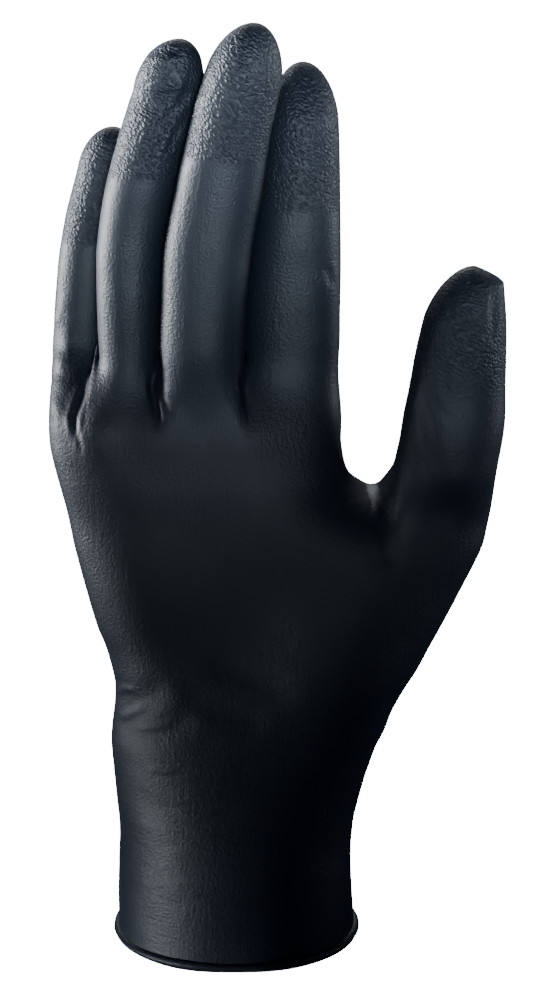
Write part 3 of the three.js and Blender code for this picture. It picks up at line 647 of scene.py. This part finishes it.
def makeMesh(name, points, faces, attributes):
    mesh = bpy.data.meshes.new(name)
    mesh.from_pydata((points * millimetre).tolist(), [], faces)
    mesh.update()
    mesh.polygons.foreach_set("use_smooth", np.ones(len(mesh.polygons), bool))
    for key, values in attributes.items():
        attribute = mesh.attributes.new(key, "FLOAT", "POINT")
        attribute.data.foreach_set("value", values.astype(np.float32))
    piece = bpy.data.objects.new(name, mesh)
    bpy.context.scene.collection.objects.link(piece)
    return piece


# The film is closed: the fine outer face, the coarse inner face one wall inside it, turned round, and
# between their mouths a strip of three triangles for each two outer columns
def makeFilm():
    outer, inner = makeFace(fineGrid), makeFace(coarseGrid)
    points = np.concatenate([outer["points"], inner["points"] - hand["filmThickness"] * inner["normals"]])
    first = len(outer["points"])
    innerQuads, innerTips = inner["quads"][:, ::-1] + first, inner["tips"][:, ::-1] + first
    rim, hem = outer["mouth"], inner["mouth"] + first
    even, odd, nextEven, nextHem = rim[::2], rim[1::2], np.roll(rim[::2], -1), np.roll(hem, -1)
    strip = np.concatenate([np.stack([even, hem, odd], axis=1), np.stack([odd, hem, nextHem], axis=1),
                            np.stack([odd, nextHem, nextEven], axis=1)])
    faces = [face for block in (outer["quads"], outer["tips"], innerQuads, innerTips, strip)
             for face in block.tolist()]
    hidden = np.zeros(len(inner["points"]))
    masks = {"grip": np.concatenate([gripMask(outer), hidden]),
             "slack": np.concatenate([bell(outer["points"], slack), hidden])}
    return makeMesh("gloveFilm", points, faces, masks), outer


# The rolled edge, in millimetres: columns are the film's, outward is how far its middle stands off the film,
# and the groove is where the roll's edge lies
roll = {"steps": 20, "outward": 0.1, "grooveAngle": math.radians(-28), "grooveWidth": 0.3,
        "grooveDepth": 0.22, "wobble": 0.12, "wobbleCell": (14, 14, 14), "seed": 21}


# A circle of the roll's radius, dented by a bell at the groove's angle, carried round the film's mouth
def makeRoll(outer):
    rim, normals = outer["points"][outer["mouth"]], outer["normals"][outer["mouth"]]
    out = normals * np.array([1, 1, 0])
    out /= np.linalg.norm(out, axis=1)[:, None]
    angles = 2 * np.pi * np.arange(roll["steps"]) / roll["steps"]
    away = np.abs((angles - roll["grooveAngle"] + np.pi) % (2 * np.pi) - np.pi)
    radius = hand["rollRadius"] - roll["grooveDepth"] * np.exp(-(away / roll["grooveWidth"]) ** 2)
    centre = rim + out * roll["outward"]
    centre[:, 2] = hand["rollRadius"]
    swell = 1 + roll["wobble"] * softNoise(rim, roll["wobbleCell"], roll["seed"])[:, None, None]
    across = (radius * np.cos(angles))[None, :, None] * out[:, None, :]
    up = (radius * np.sin(angles))[None, :, None] * np.array([0, 0, 1])
    points = centre[:, None, :] + (across + up) * swell
    count, steps = points.shape[:2]
    numbers = np.arange(count * steps).reshape(count, steps)
    ahead = np.roll(numbers, -1, 0)
    cells = np.stack([numbers, ahead, np.roll(ahead, -1, 1), np.roll(numbers, -1, 1)], axis=-1)
    return makeMesh("cuffRoll", points.reshape(-1, 3), cells.reshape(-1, 4).tolist(), {})


def link(tree, fromNode, fromSocket, toNode, toSocket):
    tree.links.new(fromNode.outputs[fromSocket], toNode.inputs[toSocket])


def addNode(tree, kind, inputs=None, **values):
    node = tree.nodes.new(kind)
    for key, value in values.items():
        setattr(node, key, value)
    for key, value in (inputs or {}).items():
        node.inputs[key].default_value = value
    return node


def mathNode(tree, operation, *values):
    node = addNode(tree, "ShaderNodeMath", operation=operation)
    for socket, value in zip(node.inputs, values):
        if isinstance(value, (int, float)):
            socket.default_value = value
        else:
            tree.links.new(value, socket)
    return node.outputs[0]


# Scales are cells in a metre, depths are millimetres and shifts are metres. Streaks are longer up the hand,
# creases longer across it, and pebbles longer along their slant, by their length
skinLook = {
    "grainScale": 1500, "grainDetail": 2, "grainDepth": 0.16,
    "streakScale": 900, "streakDetail": 1, "streakDepth": 0.06, "streakLength": 7,
    "creaseScale": 900, "creaseDetail": 1, "creaseDepth": 0.16, "creaseLength": 4.5,
    "pebbleScale": 1900, "pebbleRange": (0.15, 0.6), "pebbleDepth": 0.2,
    "pebbleSlant": math.radians(35), "pebbleLength": 1.9,
    "wormScale": 1100, "wormDetail": 1, "wormShift": 0.0003,
    "tintScale": 60, "tintDetail": 3, "tintRange": (0.3, 0.7),
    "rough": (0.5, 0.56), "gripRough": 0.02, "ior": 1.52,
    "filmDark": (0.010, 0.014, 0.024), "filmLight": (0.013, 0.018, 0.029),
    "rollDark": (0.009, 0.013, 0.022), "rollLight": (0.012, 0.017, 0.027),
}


# Noise on the place that another node gives
def noiseNode(tree, name, source, socket):
    node = addNode(tree, "ShaderNodeTexNoise", {"Scale": skinLook[name + "Scale"],
                                                "Detail": skinLook[name + "Detail"]})
    link(tree, source, socket, node, "Vector")
    return node


# A value's run from low to high, mapped to another pair of values
def rangeNode(tree, source, socket, given, wanted):
    node = addNode(tree, "ShaderNodeMapRange", {"From Min": given[0], "From Max": given[1],
                                                "To Min": wanted[0], "To Max": wanted[1]})
    link(tree, source, socket, node, "Value")
    return node


# Nitrile film: fine grain and upright streaks everywhere, level creases where the slack mask is 1, and raised
# pebbles with a winding outline where the grip mask is 1
def makeSkinGroup():
    group = bpy.data.node_groups.new("nitrileSkin", "ShaderNodeTree")
    for name in ("Grip", "Slack"):
        group.interface.new_socket(name, in_out="INPUT", socket_type="NodeSocketFloat").default_value = 0
    for name in ("Dark", "Light"):
        group.interface.new_socket(name, in_out="INPUT", socket_type="NodeSocketColor")
    for name, kind in (("Color", "NodeSocketColor"), ("Roughness", "NodeSocketFloat"),
                       ("Height", "NodeSocketFloat")):
        group.interface.new_socket(name, in_out="OUTPUT", socket_type=kind)
    given = group.nodes.new("NodeGroupInput")
    result = group.nodes.new("NodeGroupOutput")
    place = addNode(group, "ShaderNodeTexCoord")

    # Grain and streaks
    grain = noiseNode(group, "grain", place, "Object")
    upright = addNode(group, "ShaderNodeMapping", {"Scale": (1, 1, 1 / skinLook["streakLength"])})
    link(group, place, "Object", upright, "Vector")
    streak = noiseNode(group, "streak", upright, "Vector")
    fine = mathNode(group, "MULTIPLY", grain.outputs[0], skinLook["grainDepth"])
    height = mathNode(group, "MULTIPLY_ADD", streak.outputs[0], skinLook["streakDepth"], fine)

    # Pebbles: cells on a place that a noise shifts, stretched along a slant
    worm = noiseNode(group, "worm", place, "Object")
    shift = addNode(group, "ShaderNodeVectorMath", operation="MULTIPLY_ADD")
    link(group, worm, "Color", shift, 0)
    shift.inputs[1].default_value = (skinLook["wormShift"],) * 3
    link(group, place, "Object", shift, 2)
    slant = addNode(group, "ShaderNodeMapping", vector_type="TEXTURE")
    slant.inputs["Rotation"].default_value = (0, skinLook["pebbleSlant"], 0)
    slant.inputs["Scale"].default_value = (skinLook["pebbleLength"], 1, 1)
    link(group, shift, 0, slant, "Vector")
    pebble = addNode(group, "ShaderNodeTexVoronoi", {"Scale": skinLook["pebbleScale"]}, feature="SMOOTH_F1")
    link(group, slant, 0, pebble, "Vector")
    dome = rangeNode(group, pebble, "Distance", skinLook["pebbleRange"], (1, 0))
    pebbleHeight = mathNode(group, "MULTIPLY", dome.outputs[0], given.outputs["Grip"])
    height = mathNode(group, "MULTIPLY_ADD", pebbleHeight, skinLook["pebbleDepth"], height)

    # Level creases
    level = addNode(group, "ShaderNodeMapping", {"Scale": (1 / skinLook["creaseLength"],) * 2 + (1,)})
    link(group, place, "Object", level, "Vector")
    crease = noiseNode(group, "crease", level, "Vector")
    creased = mathNode(group, "MULTIPLY", crease.outputs[0], given.outputs["Slack"])
    height = mathNode(group, "MULTIPLY_ADD", creased, skinLook["creaseDepth"], height)
    group.links.new(height, result.inputs["Height"])

    # Tint and roughness
    tint = noiseNode(group, "tint", place, "Object")
    mix = addNode(group, "ShaderNodeMix", data_type="RGBA")
    link(group, tint, 0, mix, 0)
    group.links.new(given.outputs["Dark"], mix.inputs[6])
    group.links.new(given.outputs["Light"], mix.inputs[7])
    group.links.new(mix.outputs[2], result.inputs["Color"])
    worn = rangeNode(group, tint, 0, skinLook["tintRange"], skinLook["rough"])
    roughness = mathNode(group, "MULTIPLY_ADD", given.outputs["Grip"], skinLook["gripRough"], worn.outputs[0])
    group.links.new(roughness, result.inputs["Roughness"])
    return group


def makeNitrile(name, group, part, masks):
    material = bpy.data.materials.new(name)
    material.use_nodes = True
    tree = material.node_tree
    shader = tree.nodes["Principled BSDF"]
    shader.inputs["IOR"].default_value = skinLook["ior"]
    skin = addNode(tree, "ShaderNodeGroup", node_tree=group)
    skin.inputs["Dark"].default_value = (*skinLook[part + "Dark"], 1)
    skin.inputs["Light"].default_value = (*skinLook[part + "Light"], 1)
    for key, socket in masks.items():
        mask = addNode(tree, "ShaderNodeAttribute", attribute_name=key)
        link(tree, mask, "Fac", skin, socket)
    bump = addNode(tree, "ShaderNodeBump", {"Strength": 1, "Distance": millimetre})
    link(tree, skin, "Height", bump, "Height")
    link(tree, bump, "Normal", shader, "Normal")
    link(tree, skin, "Color", shader, "Base Color")
    link(tree, skin, "Roughness", shader, "Roughness")
    return material


skinGroup = makeSkinGroup()
film, outerFace = makeFilm()
film.data.materials.append(makeNitrile("nitrileFilm", skinGroup, "film", {"grip": "Grip", "slack": "Slack"}))
print("film made:", len(film.data.polygons), "faces")
cuffRoll = makeRoll(outerFace)
cuffRoll.data.materials.append(makeNitrile("nitrileRoll", skinGroup, "roll", {}))
print("roll made:", len(cuffRoll.data.polygons), "faces")
for piece in (film, cuffRoll):
    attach(piece, "root")
    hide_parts("glove")

# Floor and surroundings: white to the camera; to the film the floor lets the low light through, and the
# surroundings are dim, because it would else be lit from all sides
studio = {"white": 18, "dimWorld": 0.024, "dimColor": (0.16, 0.3, 1), "floorSize": 8.0, "floorDrop": 0.0004}


def makeFloor():
    half = studio["floorSize"] / 2
    corners = [(-half, -half), (half, -half), (half, half), (-half, half)]
    mesh = bpy.data.meshes.new("floor")
    mesh.from_pydata([(x, y, -studio["floorDrop"]) for x, y in corners], [], [(0, 1, 2, 3)])
    floor = bpy.data.objects.new("floor", mesh)
    bpy.context.scene.collection.objects.link(floor)
    material = bpy.data.materials.new("paleFloor")
    material.use_nodes = True
    tree = material.node_tree
    tree.nodes.remove(tree.nodes["Principled BSDF"])
    path = addNode(tree, "ShaderNodeLightPath")
    clear = addNode(tree, "ShaderNodeBsdfTransparent")
    bright = addNode(tree, "ShaderNodeEmission", {"Color": (1, 1, 1, 1), "Strength": studio["white"]})
    mix = addNode(tree, "ShaderNodeMixShader")
    link(tree, path, "Is Camera Ray", mix, 0)
    link(tree, clear, 0, mix, 1)
    link(tree, bright, 0, mix, 2)
    link(tree, mix, 0, tree.nodes["Material Output"], "Surface")
    mesh.materials.append(material)


def makeWorld():
    world = bpy.data.worlds.new("studio")
    bpy.context.scene.world = world
    world.use_nodes = True
    tree = world.node_tree
    path = addNode(tree, "ShaderNodeLightPath")
    dim = tree.nodes["Background"]
    dim.inputs["Color"].default_value = (*studio["dimColor"], 1)
    dim.inputs["Strength"].default_value = studio["dimWorld"]
    bright = addNode(tree, "ShaderNodeBackground", {"Color": (1, 1, 1, 1), "Strength": studio["white"]})
    mix = addNode(tree, "ShaderNodeMixShader")
    link(tree, path, "Is Camera Ray", mix, 0)
    link(tree, dim, 0, mix, 1)
    link(tree, bright, 0, mix, 2)
    link(tree, mix, 0, tree.nodes["World Output"], "Surface")


# Soft boxes: place, aim, width and height, watts, colour, and the angle that its grid lets through
lights = {
    "key": {"at": (-0.87, 0.14, 0.2), "aim": (0, 0, 0.35), "size": (0.28, 0.22), "power": 2.8,
            "color": (0.93, 0.96, 1), "grid": math.radians(32)},
    "left": {"at": (-0.8, -0.32, -0.15), "aim": (0, 0, -0.13), "size": (0.3, 0.2), "power": 0.5,
             "color": (0.88, 0.94, 1), "grid": math.radians(30)},
    "front": {"at": (0.06, -0.88, 0.17), "aim": (0, 0, 0.37), "size": (0.9, 0.2), "power": 2.1,
              "color": (0.76, 0.88, 1), "grid": math.radians(30)},
    "right": {"at": (0.9, 0.12, 0.3), "aim": (0.03, 0, 0.36), "size": (0.3, 0.3), "power": 0.6,
              "color": (0.86, 0.93, 1), "grid": math.radians(36)},
    "back": {"at": (-0.1, 0.8, 0.85), "aim": (0, 0, 0.12), "size": (0.9, 0.7), "power": 7,
             "color": (0.94, 0.97, 1), "grid": math.radians(180)},
}


def aimed(at, aim):
    return (Vector(aim) - Vector(at)).to_track_quat("-Z", "Y").to_euler()


def makeLights():
    for name, box in lights.items():
        data = bpy.data.lights.new(name, "AREA")
        data.shape = "RECTANGLE"
        data.size, data.size_y = box["size"]
        data.energy = box["power"]
        data.color = box["color"]
        data.spread = box["grid"]
        lamp = bpy.data.objects.new(name, data)
        lamp.location = box["at"]
        lamp.rotation_euler = aimed(box["at"], box["aim"])
        bpy.context.scene.collection.objects.link(lamp)


# Sixteen degrees above the level of the hand, straight in front of the palm
cameraSet = {"target": (0.0105, 0, 0.12), "distance": 0.85, "elevation": math.radians(16), "lens": 121.1,
             "sensor": 36, "aimLower": 0.0032, "clipStart": 0.05}


def makeCamera():
    data = bpy.data.cameras.new("camera")
    data.sensor_width = cameraSet["sensor"]
    data.lens = cameraSet["lens"]
    data.clip_start = cameraSet["clipStart"]
    camera = bpy.data.objects.new("camera", data)
    target = Vector(cameraSet["target"])
    reach = cameraSet["distance"]
    camera.location = target + Vector((0, -reach * math.cos(cameraSet["elevation"]),
                                       reach * math.sin(cameraSet["elevation"])))
    camera.rotation_euler = aimed(camera.location, target - Vector((0, 0, cameraSet["aimLower"])))
    bpy.context.scene.collection.objects.link(camera)
    bpy.context.scene.camera = camera


makeFloor()
makeWorld()
makeLights()
makeCamera()
print("studio made")
